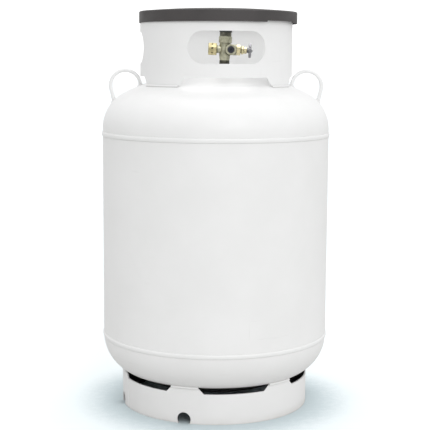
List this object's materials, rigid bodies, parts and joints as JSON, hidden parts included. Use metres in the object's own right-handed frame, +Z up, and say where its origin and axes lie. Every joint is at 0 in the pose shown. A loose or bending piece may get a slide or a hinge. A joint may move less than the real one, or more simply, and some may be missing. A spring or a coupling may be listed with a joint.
{
  "type": "propane tank",
  "caption": "Upright white steel propane tank on a foot ring, with a windowed collar round its valve, a dark hinged lid and two lifting lugs.",
  "frame": {"origin": "on the floor, at the middle of the foot ring's bottom edge", "axes": "+Z up along the vessel's axis; the front, where the gas outlet points, is -Y; +X is the handwheel's side"},
  "size_m": [0.768, 0.768, 1.3366],
  "materials": {
    "white_paint": "smooth white powder coat over steel",
    "lid_polymer": "charcoal moulded polymer, matt",
    "valve_brass": "forged brass, dull",
    "bright_brass": "machined brass, bright",
    "handwheel_metal": "die-cast, grey",
    "bare_steel": "plated steel",
    "plug_polymer": "dark blue-black moulded polymer",
    "cap_polymer": "black moulded polymer",
    "seal_rubber": "nitrile rubber"
  },
  "bodies": {
    "tank": {"lower_head": "white_paint", "shell": "white_paint", "upper_head": "white_paint", "upper_girth_weld": "white_paint", "lower_girth_weld": "white_paint", "shell_seam_weld": "white_paint", "valve_boss": "white_paint", "valve_boss_weld": "white_paint", "foot_ring": "white_paint", "foot_ring_welds": "white_paint", "collar": "white_paint", "collar_welds": "white_paint", "right_lifting_lug": "white_paint", "left_lifting_lug": "white_paint", "lifting_lug_welds": "white_paint", "lid_hinge_bracket": "white_paint", "lid_hinge_pin": "bare_steel", "valve_body": "valve_brass", "bonnet": "bright_brass", "packing_ring": "seal_rubber", "packing_nut": "bright_brass", "filler_connection": "valve_brass", "filler_check_guide": "bright_brass", "filler_check_spring": "bare_steel", "relief_cap": "bright_brass", "relief_spring": "bare_steel", "relief_adjuster": "bright_brass", "dip_tube": "valve_brass"},
    "lid": {"collar_lid": "lid_polymer"},
    "handwheel": {"handwheel": "handwheel_metal", "handwheel_washer": "bare_steel", "handwheel_screw": "bare_steel", "stem": "bare_steel"},
    "valve_seat": {"seat_disc": "seal_rubber", "seat_holder": "bright_brass"},
    "outlet_plug": {"outlet_plug": "plug_polymer", "outlet_plug_seal": "seal_rubber"},
    "filler_cap": {"filler_cap": "cap_polymer", "filler_cap_gasket": "seal_rubber"},
    "filler_check": {"filler_check_poppet": "bright_brass", "filler_check_seal": "seal_rubber"},
    "relief_poppet": {"relief_poppet": "bright_brass", "relief_seal": "seal_rubber"},
    "bleeder": {"bleeder_screw": "bright_brass"}
  },
  "joints": [
    {"name": "lid_hinge", "type": "hinge", "parent": "tank", "child": "lid", "pos_m": [-0.21276, 0.16623, 1.28352], "axis": [-0.6157, -0.788, 0], "range_deg": [0, 110]},
    {"name": "handwheel_turn", "type": "hinge", "parent": "tank", "child": "handwheel", "pos_m": [0.02929, 0, 1.20145], "axis": [0.9993, 0, -0.0385], "range_deg": [0, 1080]},
    {"name": "valve_seat_travel", "type": "slide", "parent": "tank", "child": "valve_seat", "axis": [0.9993, 0, -0.0385], "range_m": [0, 0.00605]},
    {"name": "outlet_plug_pull", "type": "slide", "parent": "tank", "child": "outlet_plug", "axis": [0, -1, 0], "range_m": [0, 0.06]},
    {"name": "filler_cap_lift", "type": "slide", "parent": "tank", "child": "filler_cap", "axis": [0.0385, 0, 0.9993], "range_m": [0, 0.03]},
    {"name": "filler_check_open", "type": "slide", "parent": "tank", "child": "filler_check", "axis": [-0.0385, 0, -0.9993], "range_m": [0, 0.006], "stiffness_N_per_m": 300, "springref_m": -0.004, "deforming": ["filler_check_spring"]},
    {"name": "relief_open", "type": "slide", "parent": "tank", "child": "relief_poppet", "axis": [-0.9993, 0, 0.0385], "range_m": [0, 0.004], "stiffness_N_per_m": 2000, "springref_m": -0.005, "deforming": ["relief_spring"]},
    {"name": "bleeder_turn", "type": "hinge", "parent": "tank", "child": "bleeder", "pos_m": [0.02869, 0.027, 1.18596], "axis": [0, 1, 0], "range_deg": [0, 720]}
  ],
  "couplings": [
    {"joint": "valve_seat_travel", "follows": "handwheel_turn", "m_per_rad": 0.00031831}
  ]
}
